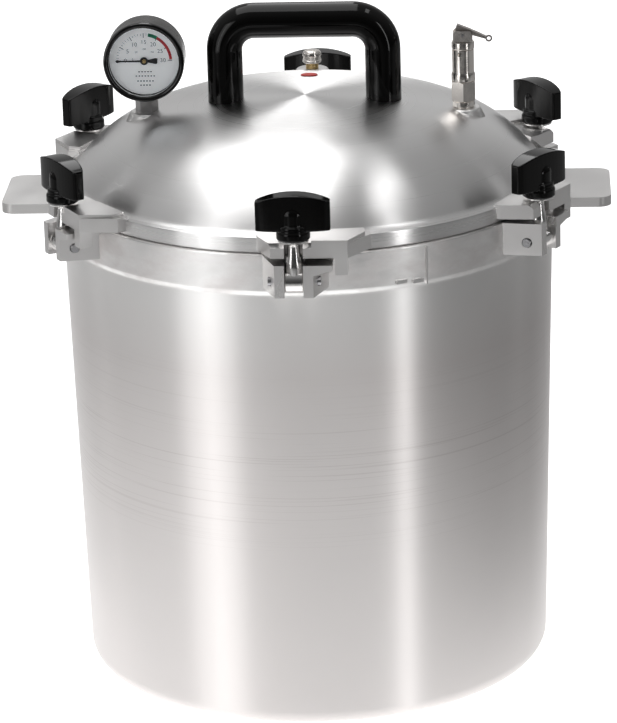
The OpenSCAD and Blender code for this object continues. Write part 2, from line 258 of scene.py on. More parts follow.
def bake(obj):
    """Applies obj's modifiers."""
    evaluated = obj.evaluated_get(bpy.context.evaluated_depsgraph_get())
    mesh = bpy.data.meshes.new_from_object(evaluated)
    obj.modifiers.clear()
    obj.data = mesh


def lift(z):
    """Matrix of a move up by z, in metres."""
    return Matrix.Translation((0, 0, z))


def cylinder(r, z0, z1, segments=48):
    """A bmesh of a cylinder about Z, in metres."""
    return lathe([(0, z0), (r, z0), (r, z1), (0, z1)], segments, closed=False)


ALONG_Y = Matrix.Rotation(math.radians(-90), 4, "X")     # turns +Z to +Y
UPRIGHT = Matrix.Rotation(math.radians(90), 4, "X")      # stands an (x, y) outline up as (x, z)
SIDE_ON = Matrix(((0, 0, 1, 0), (1, 0, 0, 0), (0, 1, 0, 0), (0, 0, 0, 1)))    # stands it up as (y, z)


# ---------------------------------------------------------------- materials


class Shader:
    """A material under construction: one Principled shader, and short calls for the nodes that feed it."""

    def __init__(self, name, **sockets):
        self.material = bpy.data.materials.new(name)
        self.material.use_nodes = True
        self.tree = self.material.node_tree
        self.principled = self.tree.nodes["Principled BSDF"]
        self.coords = self.node("ShaderNodeTexCoord").outputs["Object"]
        self.set(**sockets)

    def set(self, **sockets):
        """Puts constants on the shader's own sockets; an underscore in a name stands for a space."""
        for key, value in sockets.items():
            self.principled.inputs[key.replace("_", " ")].default_value = value

    def node(self, kind, **attributes):
        node = self.tree.nodes.new(kind)
        for key, value in attributes.items():
            setattr(node, key, value)
        return node

    def link(self, output, target):
        self.tree.links.new(output, target)

    def feed(self, socket, output):
        self.link(output, self.principled.inputs[socket])

    def axes(self):
        """The object's own x, y and z."""
        split = self.node("ShaderNodeSeparateXYZ")
        self.link(self.coords, split.inputs[0])
        return split.outputs

    def stretched(self, scale):
        """The object's coordinates, stretched."""
        mapping = self.node("ShaderNodeMapping")
        self.link(self.coords, mapping.inputs["Vector"])
        mapping.inputs["Scale"].default_value = scale
        return mapping.outputs["Vector"]

    def noise(self, scale, detail=3.0, stretch=None, rough=0.55):
        """A noise over the object, in cells per metre."""
        tex = self.node("ShaderNodeTexNoise")
        self.link(self.stretched(stretch) if stretch else self.coords, tex.inputs["Vector"])
        tex.inputs["Scale"].default_value = scale
        tex.inputs["Detail"].default_value = detail
        tex.inputs["Roughness"].default_value = rough
        return tex.outputs["Fac"]

    def span(self, value, low, high, start=0.0, end=1.0):
        """value taken from start..end to low..high."""
        node = self.node("ShaderNodeMapRange")
        self.link(value, node.inputs["Value"])
        node.inputs["From Min"].default_value = start
        node.inputs["From Max"].default_value = end
        node.inputs["To Min"].default_value = low
        node.inputs["To Max"].default_value = high
        return node.outputs["Result"]

    def mixed(self, factor, a, b):
        """Colour a where factor is 0 and b where it is 1."""
        node = self.node("ShaderNodeMix", data_type="RGBA")
        self.link(factor, node.inputs["Factor"])
        for socket, value in ((node.inputs[6], a), (node.inputs[7], b)):
            if isinstance(value, tuple):
                socket.default_value = (*value, 1)
            else:
                self.link(value, socket)
        return node.outputs[2]

    def maths(self, operation, a, b):
        node = self.node("ShaderNodeMath", operation=operation)
        for socket, value in zip(node.inputs, (a, b)):
            if isinstance(value, (int, float)):
                socket.default_value = value
            else:
                self.link(value, socket)
        return node.outputs[0]

    def radius_lines(self, scale, detail=2.0):
        """Fine rings about the Z axis, as a lathe leaves them on a face or a dome."""
        x, y, z = self.axes()
        squares = self.maths("ADD", self.maths("MULTIPLY", x, x), self.maths("MULTIPLY", y, y))
        join = self.node("ShaderNodeCombineXYZ")
        self.link(self.maths("SQRT", squares, 0), join.inputs[0])
        self.link(z, join.inputs[1])
        tex = self.node("ShaderNodeTexNoise")
        self.link(join.outputs[0], tex.inputs["Vector"])
        tex.inputs["Scale"].default_value = scale
        tex.inputs["Detail"].default_value = detail
        return tex.outputs["Fac"]

    def bump(self, *layers):
        """Chains (height, strength, distance) layers of bump into the normal."""
        normal = None
        for height, strength, distance in layers:
            node = self.node("ShaderNodeBump")
            node.inputs["Strength"].default_value = strength
            node.inputs["Distance"].default_value = distance
            self.link(height, node.inputs["Height"])
            if normal is not None:
                self.link(normal, node.inputs["Normal"])
            normal = node.outputs["Normal"]
        self.feed("Normal", normal)

    def tangent_about_z(self):
        node = self.node("ShaderNodeTangent", direction_type="RADIAL", axis="Z")
        self.feed("Tangent", node.outputs["Tangent"])


def turned_wall():
    """Satin wall: fine turning marks run round it, with a few deeper rings half-way up and soft stains; its
    colour is painted lighter towards the top, a painted reflection.
    """
    s = Shader("turned_aluminium", Metallic=1.0, Anisotropic=0.97, Anisotropic_Rotation=0.25)
    s.tangent_about_z()
    z = s.axes()[2]
    marks = s.noise(1.0, 4, stretch=(3, 3, 2600))
    rings = s.noise(1.0, 2, stretch=(5, 5, 900), rough=0.4)
    stains = s.noise(7, 3)
    wall_tone_and_painted_sheen = s.mixed(s.span(stains, 0, 1, 0.35, 0.7), (0.82, 0.785, 0.772), (0.86, 0.83, 0.818))
    half_way = s.maths("MULTIPLY", s.span(z, 0, 1, 0.12, 0.17), s.span(z, 1, 0, 0.20, 0.27))
    scored = s.maths("MULTIPLY", s.span(rings, 0, 0.45, 0.58, 0.68), half_way)
    wall_tone_and_painted_sheen = s.mixed(scored, wall_tone_and_painted_sheen, (0.66, 0.62, 0.605))
    # Painted reflection: the wall's colour grows lighter towards the top, below the collar.
    wall_tone_and_painted_sheen = s.mixed(s.span(z, 0, 0.8, 0.26, 0.31), wall_tone_and_painted_sheen, (0.97, 0.965, 0.955))
    s.feed("Base Color", wall_tone_and_painted_sheen)
    s.feed("Roughness", s.span(stains, 0.41, 0.45, 0.3, 0.7))
    s.bump((marks, 0.06, 0.0002), (rings, 0.02, 0.0004))
    return s.material


def cloudy_collar():
    """Collar under the rim: as cast, then buffed, so it mirrors only in soft clouds."""
    s = Shader("collar_aluminium", Metallic=1.0, Anisotropic=0.6, Anisotropic_Rotation=0.25)
    s.tangent_about_z()
    clouds = s.noise(34, 4, stretch=(1, 1, 1.8), rough=0.6)
    s.feed("Base Color", s.mixed(s.span(clouds, 0, 1, 0.4, 0.65), (0.94, 0.93, 0.92), (0.80, 0.775, 0.765)))
    s.feed("Roughness", s.span(clouds, 0.30, 0.50, 0.35, 0.65))
    s.bump((clouds, 0.30, 0.0008), (s.noise(420, 2), 0.04, 0.0002))
    return s.material


def cast_metal():
    """Brackets, lugs and side handles: cast, then polished by hand, with faint waves."""
    s = Shader("cast_aluminium", Metallic=1.0)
    waves = s.noise(22, 1.5)
    s.feed("Base Color", s.mixed(s.span(waves, 0, 1, 0.35, 0.7), (0.76, 0.745, 0.738), (0.84, 0.83, 0.82)))
    s.feed("Roughness", s.span(waves, 0.26, 0.36, 0.3, 0.7))
    s.bump((waves, 0.15, 0.0012))
    return s.material


def polished_lid():
    """Lid: polished on a lathe, so that faint rings and soft waves stay."""
    s = Shader("polished_aluminium", Metallic=1.0, Anisotropic=0.95, Anisotropic_Rotation=0.25)
    s.tangent_about_z()
    rings = s.radius_lines(1400)
    waves = s.noise(14, 2)
    s.feed("Base Color", s.mixed(s.span(waves, 0, 1, 0.35, 0.7), (0.85, 0.84, 0.835), (0.91, 0.905, 0.90)))
    s.feed("Roughness", s.span(rings, 0.27, 0.33, 0.3, 0.7))
    s.bump((rings, 0.05, 0.0002), (waves, 0.10, 0.0012))
    return s.material


def plated(name, colour, rough):
    """Bright plating over machined steel or brass."""
    s = Shader(name, Metallic=1.0)
    haze = s.noise(240, 3)
    s.feed("Base Color", s.mixed(haze, colour, tuple(min(1, 1.1 * c) for c in colour)))
    s.feed("Roughness", s.span(haze, 0.7 * rough, 1.3 * rough, 0.3, 0.7))
    s.bump((s.noise(1500, 2), 0.04, 0.0001))
    return s.material


def moulded_black():
    """Glossy phenolic: deep black, with a faint orange-peel skin and dust-fine haze."""
    s = Shader("black_phenolic", Specular_IOR_Level=0.26)
    haze = s.noise(60, 4)
    s.feed("Base Color", s.mixed(haze, (0.0012, 0.0012, 0.0012), (0.0030, 0.0028, 0.0026)))
    s.feed("Roughness", s.span(haze, 0.06, 0.11, 0.3, 0.7))
    s.bump((s.noise(300, 2), 0.03, 0.0003))
    return s.material


def painted(name, colour, rough, peel=0.05, painted_glow=0.0):
    """Even paint or print with a fine texture; painted_glow makes the paint glow, a painted light that makes
    it brighter than the lamps do.
    """
    s = Shader(name, Emission_Color=(*colour, 1), Emission_Strength=painted_glow)
    haze = s.noise(90, 3)
    darker = tuple(0.9 * c for c in colour)
    lighter = tuple(min(1, 1.06 * c) for c in colour)
    s.feed("Base Color", s.mixed(haze, darker, lighter))
    s.feed("Roughness", s.span(haze, 0.8 * rough, 1.2 * rough, 0.3, 0.7))
    s.bump((s.noise(700, 2), peel, 0.0002))
    return s.material


def lens_glass():
    """Clear flat lens, barely hazed."""
    s = Shader("lens_glass", Transmission_Weight=1.0, IOR=1.15)
    s.feed("Base Color", s.mixed(s.noise(40), (0.98, 0.99, 1.0), (1.0, 1.0, 1.0)))
    s.feed("Roughness", s.span(s.noise(200), 0.0, 0.02))
    return s.material


def floor_white():
    """Plain white floor to the camera. What the pot mirrors is painted light: the floor glows as if lit by a
    softbox, fading to the front and the sides, and is dark beyond.
    """
    s = Shader("floor", Roughness=0.9, Emission_Color=(1, 1, 1, 1))
    x, y, _ = s.axes()
    # Painted light: the glow fades to the front and the sides, with a glowing band further out.
    front = s.span(y, 0.05, 1.05, -1.0, -0.46)
    right, left = s.span(x, 1.0, 0.15, 0.2, 0.48), s.span(x, 0.2, 1.0, -1.0, -0.33)
    sides = s.maths("MULTIPLY", right, left)
    far_band = s.maths("MULTIPLY", s.span(y, 0, 0.7, -1.28, -1.2), s.span(y, 1, 0, -1.12, -1.04))
    mirrored = s.maths("MULTIPLY", s.maths("ADD", front, far_band), sides)
    seen = s.node("ShaderNodeLightPath").outputs["Is Camera Ray"]
    bright = s.maths("MAXIMUM", mirrored, seen)
    s.feed("Emission Strength", s.maths("MULTIPLY", bright, 0.95))
    # Painted shade: outside the painted glow the floor is dark, in what the pot mirrors.
    s.feed("Base Color", s.mixed(bright, (0.08, 0.08, 0.08), (0.80, 0.80, 0.80)))
    return s.material


WALL = turned_wall()
COLLAR = cloudy_collar()
CAST = cast_metal()
LID = polished_lid()
STEEL = plated("plated_steel", (0.78, 0.77, 0.76), 0.16)
NICKEL = plated("nickel_plate", (0.86, 0.82, 0.78), 0.18)
DULL_STEEL = plated("pin_steel", (0.36, 0.36, 0.37), 0.38)
BRASS = plated("brass", (0.72, 0.52, 0.24), 0.26)
RACK = plated("rack_aluminium", (0.76, 0.76, 0.77), 0.42)
BLACK = moulded_black()
NECK = plated("cast_neck", (0.50, 0.49, 0.49), 0.40)
CASE = painted("case_paint", (0.010, 0.008, 0.007), 0.28, 0.06)
BEZEL = painted("bezel_paint", (0.004, 0.004, 0.004), 0.12, 0.03)
LEVER = plated("lever_steel", (0.46, 0.43, 0.41), 0.30)
# The dial glows a little: painted light that brightens the white dial.
DIAL = painted("dial_paint_painted_glow", (0.92, 0.94, 0.96), 0.55, painted_glow=0.2)
PRINT = painted("dial_print", (0.14, 0.14, 0.15), 0.6)
INK = painted("dial_ink", (0.02, 0.02, 0.022), 0.6)
GREEN = painted("dial_green", (0.02, 0.26, 0.14), 0.6)
RED = painted("dial_red", (0.72, 0.06, 0.07), 0.6)
RUBBER = painted("red_rubber", (0.62, 0.05, 0.04), 0.5, 0.15)
GLASS = lens_glass()


def dress(obj, body, slot, *materials, replaces=()):
    """Gives a piece its materials, puts it under its body, and hides the CAD nodes that it stands for; slot
    is not used.
    """
    obj.data.materials.clear()
    for material in materials:
        obj.data.materials.append(material)
    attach(obj, body)
    if replaces:
        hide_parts(*replaces)
    return obj


# ---------------------------------------------------------------- pot


COLLAR_Z = RIM_Z - 30 * MM
WALL_T = 5                        # thickness of the wall at the foot, in millimetres


def pot_profile():
    """Outline of the pot's wall and floor, from the centre of the base outwards and back inside."""
    corner, inner_corner, floor_t = 12, 8, 6
    base, inner, top = BASE_R / MM, BASE_R / MM - WALL_T, POT_R / MM
    collar, rim = COLLAR_Z / MM, RIM_Z / MM
    lean, rise = top - 1 - base, collar - 1 - corner
    outer = [(0, 0), (base - corner - 3, 0)] + arc(base - corner, corner, corner, -90, 0, 10)
    wall = [(base + lean * t, corner + rise * t) for t in (0.02, 0.25, 0.5, 0.75, 1)]
    swell = ((0.85, 1), (0.5, 2.4), (0.15, 3.8), (0, 5))
    neck = [(top - inward, collar + up) for inward, up in swell]
    mouth = [(top, rim - 1.2)] + arc(top - 1, rim - 1, 1, 0, 90, 3)
    inside = [(top - 5.4, rim), (top - 6, rim - 0.6), (inner + 4.2, rim * 0.6), (inner, 20)]
    floor = arc(inner - inner_corner, floor_t + inner_corner, inner_corner, 0, -90, 6) + [(0, floor_t)]
    return scaled(outer + wall + neck + mouth + inside + floor)


def bracket():
    """Forked bracket with its ledge, in a clamp's own axes."""
    root, out = -18.4, 9.6        # from inside the wall to the bracket's face
    half, wide, slot = 13, 22, 6.3        # half its width at the face and at the root, and half its slot
    plan = [
        (root, -wide), (root + 4, -wide), (out, -half), (out, -slot), (-9, -slot),
        (-9, slot), (out, slot), (out, half), (root + 4, wide), (root, wide),
    ]
    foot, rim = 325, RIM_Z / MM
    fork = prism(scaled(plan), foot * MM, RIM_Z, 0.9 * MM, 3)
    side = [(slot + 1, rim), (26, rim), (26, rim - 3.6), (half, rim - 7), (slot + 1, rim - 7)]
    ledge = prism(scaled(side), root * MM, (out + 0.4) * MM, 0.7 * MM, 3)
    hole = moved(cylinder(3.4 * MM, -40 * MM, 40 * MM), lift(PIN_Z) @ ALONG_Y)
    return to_object("pot_bracket", cut(combined(fork, moved(ledge, SIDE_ON)), hole))


def side_handle_plan():
    """Outline of the plate at +X, with rounded outer corners."""
    inner, out, half, r = 166, 214, 37, 9     # from inside the wall to its edge, half its width, its corners
    near = [(inner, -half)] + arc(out - r, -half + r, r, -90, 0, 10)
    far = arc(out - r, half - r, r, 0, 90, 10) + [(inner, half)]
    return scaled(near + far)


def index_marks():
    """A ridge on the collar and two nubs below it: x runs along the rim and -y points out."""
    ridge = prism(rectangle(-0.6, 0.6, -0.8, 1.2), -14 * MM, 12 * MM, 0.3 * MM)
    nubs = [
        moved(prism(rectangle(-4, 4, -0.8, 1.6), 0, 2.5 * MM, 0.6 * MM), Matrix.Translation(place))
        for place in scaled([(7, 0, -12), (19, -1, -11)])
    ]
    return combined(ridge, *nubs)


def build_pot():
    shell = to_object("pot_shell", lathe(pot_profile(), 256, closed=False), sharp=28)
    dress(shell, "pot", "cast_aluminium", WALL, COLLAR, replaces=["pot_body"])
    for face in shell.data.polygons:
        face.material_index = int(face.center.z > COLLAR_Z)
    model = bracket()
    for k in CLAMPS:
        dress(placed(f"pot_bracket_{k}", model.data, at_clamp(k)), "pot", "cast_aluminium", CAST)
    bpy.data.objects.remove(model)
    handle_top = RIM_Z - 3 * MM
    for name, turn in (("side_handle_right", 0), ("side_handle_left", math.pi)):
        plate = prism(side_handle_plan(), handle_top - 7 * MM, handle_top, 2.2 * MM, 4)
        obj = to_object(name, plate, Matrix.Rotation(turn, 4, "Z"), sharp=50)
        dress(obj, "pot", "cast_aluminium", CAST)
    beside_front_clamp = Matrix.Rotation(math.radians(-60), 4, "Z")
    on_collar = Matrix.Translation((POT_R, 0, COLLAR_Z + 16 * MM))
    face_out = beside_front_clamp @ on_collar @ Matrix.Rotation(math.radians(-90), 4, "Z")
    dress(to_object("index_marks", index_marks(), face_out), "pot", "cast_aluminium", CAST)


# ---------------------------------------------------------------- clamps


def threaded_rod(r, z0, z1, pitch=1.8 * MM, depth=0.75 * MM, around=32):
    """A rod with a helical thread, which fades out over a turn at both ends."""
    per_turn = 6                  # rows of points in a turn of the thread
    rows = max(2, int((z1 - z0) / pitch * per_turn))
    bm = bmesh.new()
    grid = []
    for j in range(rows + 1):
        z = z0 + (z1 - z0) * j / rows
        row = []
        for i in range(around):
            a = 2 * math.pi * i / around
            phase = (z / pitch - i / around) % 1.0
            fade = min(1.0, (rows - j) / per_turn, j / per_turn)
            radius = r - depth * fade * abs(2 * phase - 1)
            row.append(bm.verts.new((radius * math.cos(a), radius * math.sin(a), z)))
        grid.append(row)
    skin(bm, grid)
    return bm


def bolt_model():
    """Swing bolt in a clamp's own axes: an eye barrel, a flared neck and a threaded shank."""
    eye_profile = [(3.2, -6), (7.4, -6), (8, -5.4), (8, 5.4), (7.4, 6), (3.2, 6)]
    eye = moved(lathe(scaled(eye_profile), 48), lift(PIN_Z) @ ALONG_Y)
    flare = [(6, 10), (5.9, 11.4), (5.5, 13.5), (4.9, 16.5), (4.3, 20), (3.9, 24.5)]
    neck_profile = [(0, 4), (6, 4)] + flare + [(0, 24.5)]
    neck = moved(lathe(scaled(neck_profile), 40, closed=False), lift(PIN_Z))
    rod = threaded_rod(4 * MM, PIN_Z + 24 * MM, high("swing_bolt_1").z)
    return to_object("bolt_model", combined(eye, neck, rod), sharp=40)


def washer_model():
    """Washer in a clamp's own axes, with its edges broken."""
    z0, z1 = low("washer_1").z / MM, high("washer_1").z / MM
    under = [(4.1, z0 + 0.2), (4.3, z0), (10.2, z0), (10.5, z0 + 0.3)]
    upper = [(10.5, z1 - 0.3), (10.2, z1), (4.3, z1), (4.1, z1 - 0.2)]
    return to_object("washer_model", lathe(scaled(under + upper), 48))


def wing_pair():
    """Both wings of a nut: lens-shaped in plan, with a crowned top."""
    half, mid, end = 25, 7.2, 2.9         # half the span, and half the thickness midway and at the ends
    crown = 70                            # radius of the top, seen from the front
    wing_low, wing_high = 6, (high("wing_nut_1").z - low("wing_nut_1").z) / MM
    angles = np.radians(np.arange(-90, 91, 10))
    side = [(end + (mid - end) * math.cos(a) ** 1.2, half * math.sin(a)) for a in angles]
    plan = side + [(-x, y) for x, y in side[::-1]]
    block = prism(scaled(plan), wing_low * MM, (wing_high + 1) * MM)
    lying = lift((wing_high - crown) * MM) @ Matrix.Rotation(math.pi / 2, 4, "Y")
    return cut(block, moved(cylinder(crown * MM, -50 * MM, 50 * MM, 240), lying), keep=True)


def nut_model():
    """Wing nut in its own axes, base at z = 0: wings, a round hub and a lipped collar moulded in one."""
    dome = [(0, 1), (8.7, 1), (8.7, 17.5), (8.2, 19.5), (7.2, 21.5), (6, 23), (0, 24)]
    hub = lathe(scaled(dome), 64, closed=False)
    lip = [(11.4, 4.6), (11.0, 5.6), (10.4, 6), (10.4, 8.6), (9.8, 9.4), (0, 9.4)]
    collar = lathe(scaled([(0, 0), (11.2, 0), (11.4, 0.4)] + lip), 64, closed=False)
    solid = to_object("nut_solid", combined(wing_pair(), hub, collar))
    remesh = solid.modifiers.new("skin", "REMESH")
    remesh.mode = "VOXEL"
    remesh.voxel_size = 0.4 * MM
    smooth = solid.modifiers.new("soften", "SMOOTH")
    smooth.factor = 0.5
    smooth.iterations = 4
    thin = solid.modifiers.new("thin", "DECIMATE")
    thin.ratio = 0.35
    bake(solid)
    bore = cylinder(6.5 * MM, -5 * MM, 18.2 * MM)
    return to_object("nut_model", cut(solid_of(solid), bore), sharp=60)


def build_clamps():
    bolt, washer, nut = bolt_model(), washer_model(), nut_model()
    for k in CLAMPS:
        nut_place = at_clamp(k) @ lift(low(f"wing_nut_{k}").z) @ wing_turn(k)
        for model, name, place, body, slot, material in (
            (bolt, "swing_bolt", at_clamp(k), "bolt", "plated_steel", STEEL),
            (washer, "washer", at_clamp(k), "clamp_washer", "plated_steel", STEEL),
            (nut, "wing_nut", nut_place, "nut", "black_phenolic", BLACK),
        ):
            piece = placed(f"{name}_{k}_shape", model.data, place)
            dress(piece, f"{body}_{k}", slot, material, replaces=[f"{name}_{k}"])
    for model in (bolt, washer, nut):
        bpy.data.objects.remove(model)


def wing_turn(k):
    """Matrix of the CAD wing nut's turn from lying along the rim."""
    points = np.array([v.co[:2] for v in frame["nodes"][f"wing_nut_{k}"].data.vertices])
    away = points - np.array(at_clamp(k).translation[:2])
    reach = (away ** 2).sum(1)
    tip = away[np.argmax(reach)]
    # The CAD wings end in a flat edge, so the mean of the far corners gives their direction
    far = away[reach > 0.98 * reach.max()]
    far = far * np.sign(far @ tip)[:, None]
    direction = far.mean(0)
    turn = math.atan2(direction[1], direction[0]) - clamp_angle(k) - math.pi / 2
    return Matrix.Rotation(turn, 4, "Z")


# ---------------------------------------------------------------- lid


# The lid's sizes and heights are in millimetres
LID_CROWN_R, LID_SHOULDER_R, LID_SHOULDER_AT, LID_T = 572, 100, 100, 6
FLANGE_R = 172
FLANGE_Z = RIM_Z / MM + 0.3
LAND_Z = FLANGE_Z + 11.2
FILLET_R = 8
CROWN_TILT = math.asin(LID_SHOULDER_AT / LID_CROWN_R)
CROWN_MID = CROWN_Z / MM - LID_CROWN_R
SHOULDER_X = (LID_CROWN_R - LID_SHOULDER_R) * math.sin(CROWN_TILT)
SHOULDER_Z = CROWN_MID + (LID_CROWN_R - LID_SHOULDER_R) * math.cos(CROWN_TILT)
LUG_Z, LUG_TOP, LUG_OUT = FLANGE_Z + 3.2, 361, 4.6


def dome_z(r):
    """Height of the lid's outer face at r from the axis, in millimetres."""
    if r < LID_SHOULDER_AT:
        return CROWN_MID + math.sqrt(LID_CROWN_R ** 2 - r * r)
    return SHOULDER_Z + math.sqrt(LID_SHOULDER_R ** 2 - (r - SHOULDER_X) ** 2)


def lid_profile():
    """Outline of the lid from the crown down to the flange, and back inside."""
    rise = LAND_Z + FILLET_R - SHOULDER_Z
    fillet_x = SHOULDER_X + math.sqrt((LID_SHOULDER_R + FILLET_R) ** 2 - rise ** 2)
    turn = math.degrees(math.atan2(rise, fillet_x - SHOULDER_X))
    tilt = 90 - math.degrees(CROWN_TILT)
    out, land, low_z = FLANGE_R, LAND_Z, FLANGE_Z
    outer = arc(0, CROWN_MID, LID_CROWN_R, 90, tilt, 24)
    outer += arc(SHOULDER_X, SHOULDER_Z, LID_SHOULDER_R, tilt, turn, 40)[1:]
    outer += arc(fillet_x, land + FILLET_R, FILLET_R, 180 + turn, 262, 8)[1:]
    edge = [(out - 1.2, land), (out - 0.3, land - 0.4), (out, land - 1.2), (out, low_z + 1)]
    under = [(out - 1, low_z), (167.4, low_z), (166.9, low_z - 6), (161, low_z - 6), (160, low_z + 4)]
    inner = arc(SHOULDER_X, SHOULDER_Z, LID_SHOULDER_R - LID_T, turn + 4, tilt, 20)
    inner += arc(0, CROWN_MID, LID_CROWN_R - LID_T, tilt, 90, 12)
    return scaled(outer + edge + under + inner)


def lug():
    """Slotted lug with a raised locking end and a hanging tab, in a clamp's own axes."""
    slot = arc(0, 0, 6.3, -90, -270, 16)
    plan = [(-20.4, -26), (-14.4, -25), (LUG_OUT, -15.3), (LUG_OUT, -6.3)]
    plan += slot + [(LUG_OUT, 6.3), (LUG_OUT, 36), (-17.4, 51), (-26.4, 50)]
    plate = prism(scaled(plan), LUG_Z * MM, LUG_TOP * MM, 0.6 * MM, 3)
    bevel = [(LUG_OUT - 3, LUG_TOP), (LUG_OUT + 1, LUG_TOP - 4), (LUG_OUT + 1, LUG_TOP + 1)]
    plate = cut(plate, moved(prism(scaled(bevel), -12 * MM, 17 * MM), UPRIGHT))
    raised = [(-20.4, 12), (LUG_OUT, 12), (LUG_OUT, 36), (-15.4, 47), (-24.4, 46)]
    step = prism(scaled(raised), (LUG_TOP - 1) * MM, (LUG_TOP + 2.3) * MM, 0.9 * MM, 3)
    tab = [(-4.4, 27.5), (LUG_OUT, 27.5), (LUG_OUT, 36), (-4.4, 36)]
    hook = prism(scaled(tab), (LUG_Z - 11.8) * MM, (LUG_Z + 1) * MM, 0.7 * MM, 3)
    return to_object("lug_model", combined(plate, step, hook))


def build_lid():
    shell = to_object("lid_shell", lathe(lid_profile(), 256, closed=False), sharp=28)
    dress(shell, "lid", "polished_aluminium", LID, replaces=["lid"])
    model = lug()
    for k in CLAMPS:
        dress(placed(f"lid_lug_{k}", model.data, at_clamp(k)), "lid", "polished_aluminium", CAST)
    bpy.data.objects.remove(model)
    flank = [(16.5, -13), (15.2, -8), (13.6, -4.6), (12.4, -2), (11.6, -0.6), (10.6, 0), (0, 0)]
    for name, x, y in (("gauge", GAUGE_X, 0), ("valve", VALVE_X, 0), ("vent", 0, VENT_Y)):
        boss = lathe(scaled(flank), 64, closed=False)
        obj = to_object(f"lid_boss_{name}", boss, Matrix.Translation((x, y, BOSS_Z)))
        dress(obj, "lid", "polished_aluminium", CAST)


# ---------------------------------------------------------------- top handle


HANDLE_R = 12.5                   # of its round bar, in millimetres
HANDLE_BEND = 21                  # of its centre line at both bends, in millimetres


def handle_path():
    """Centre line of the top handle as (x, z) points in millimetres, from foot to foot."""
    foot_x = high("top_handle").x / MM - HANDLE_R
    grip_z = high("top_handle").z / MM - HANDLE_R
    turn_x, turn_z = foot_x - HANDLE_BEND, grip_z - HANDLE_BEND
    sunk, straight = 399, 420         # the foot starts inside the lid, to be cut to the dome
    right = [(foot_x, sunk), (foot_x, straight)] + arc(turn_x, turn_z, HANDLE_BEND, 0, 90, 16)
    return right + [(0, grip_z)] + [(-x, z) for x, z in right[::-1]]


def bar_along(path, r, around=64):
    """A round bar along (x, z) points."""
    points = [Vector((x, 0, z)) for x, z in scaled(path)]
    rings = []
    for before, point, after in zip([points[0]] + points, points, points[1:] + [points[-1]]):
        ahead = (after - before).normalized()
        rings.append((point, Vector((ahead.z, 0, -ahead.x)), Vector((0, 1, 0))))
    return tube(rings, r, around)


def tube(rings, r, around):
    """A closed tube through rings: each is a centre and the two directions that its circle lies in."""
    bm = bmesh.new()
    angles = [2 * math.pi * j / around for j in range(around)]
    circles = [
        [bm.verts.new(centre + r * (math.cos(a) * u + math.sin(a) * v)) for a in angles]
        for centre, u, v in rings
    ]
    skin(bm, circles)
    return bm


def build_handle():
    """The bar, cut off where it meets the dome."""
    seat = [(r, dome_z(r) + 0.1) for r in [*range(140, 99, -4), *range(96, -1, -8)]]
    inside_lid = 380
    below = lathe(scaled([(0, inside_lid), (140, inside_lid)] + seat), 128, closed=False)
    bar = bar_along(handle_path(), HANDLE_R * MM)
    obj = to_object("top_handle_shape", cut(bar, below), sharp=60)
    dress(obj, "lid", "black_phenolic", BLACK, replaces=["top_handle"])


# ---------------------------------------------------------------- gauge


# The gauge's sizes are in millimetres. Both of its matrices put the origin on the dial's centre line.
GAUGE_FRONT = low("gauge_bezel").y / MM
GAUGE_BACK = high("gauge_case").y / MM
GAUGE_R = 28.4
DIAL_R = 24.6
DIAL_Y = 7.0                      # how far the dial's face is in front of the axis
PRINT_T = 0.05                    # how thick its print stands
GAUGE_AXIS = Matrix.Translation((GAUGE_X, 0, GAUGE_Z)) @ ALONG_Y         # z to the back, y down
GAUGE_FACE = Matrix.Translation((GAUGE_X, 0, GAUGE_Z)) @ UPRIGHT         # z to the front, y up


def clock(angle, r):
    """A point on the dial, with its angle clockwise from the top, in degrees."""
    a = math.radians(angle)
    return (r * math.sin(a), r * math.cos(a))


def printed(outline, height=PRINT_T):
    """Print on the dial, inside an outline in metres."""
    return prism(outline, DIAL_Y * MM, (DIAL_Y + height) * MM)


def dial_band(start, end, r0, r1):
    """A printed arc on the dial between two clock angles."""
    angles = np.linspace(start, end, 2 + int(abs(end - start) / 3))
    outline = [clock(a, r1) for a in angles] + [clock(a, r0) for a in angles[::-1]]
    return printed(scaled(outline), 0.06)


def dial_number(text, x, y, size):
    """A number printed on the dial, as a thin solid."""
    curve = bpy.data.curves.new("number", "FONT")
    curve.body = text
    curve.size = size * MM
    curve.extrude = 0.02 * MM
    curve.align_x = "CENTER"
    curve.align_y = "CENTER"
    obj = bpy.data.objects.new("number", curve)
    bpy.context.scene.collection.objects.link(obj)
    mesh = bpy.data.meshes.new_from_object(obj.evaluated_get(bpy.context.evaluated_depsgraph_get()))
    bpy.data.objects.remove(obj)
    bm = bmesh.new()
    bm.from_mesh(mesh)
    return moved(bm, Matrix.Translation((x * MM, y * MM, (DIAL_Y + 0.03) * MM)))


def dial_marks():
    """Scale of 31 ticks over half a turn, two rows of numbers, and dashes for the small print."""
    marks = []
    for i in range(31):
        half, start = (0.28, 16.4) if i % 5 == 0 else (0.14, 17.8)
        tick = printed(rectangle(-half, half, start, 19.8))
        marks.append(moved(tick, Matrix.Rotation(math.radians(90 - 6 * i), 4, "Z")))
    for i in range(7):
        marks.append(dial_number(str(5 * i), *clock(-90 + 30 * i, 13.2), 4.2))
    for i in range(5):
        marks.append(dial_number(str(50 * i), *clock(-84 + 42 * i, 8.2), 2.2))
    for y, width in ((-8.5, 9), (-11.6, 13), (-15.2, 11), (-18.2, 7)):
        for x in np.arange(-width / 2, width / 2, 2.1):
            marks.append(printed(rectangle(x, x + 1.2, y, y + 0.9), 0.04))
    return combined(*marks)


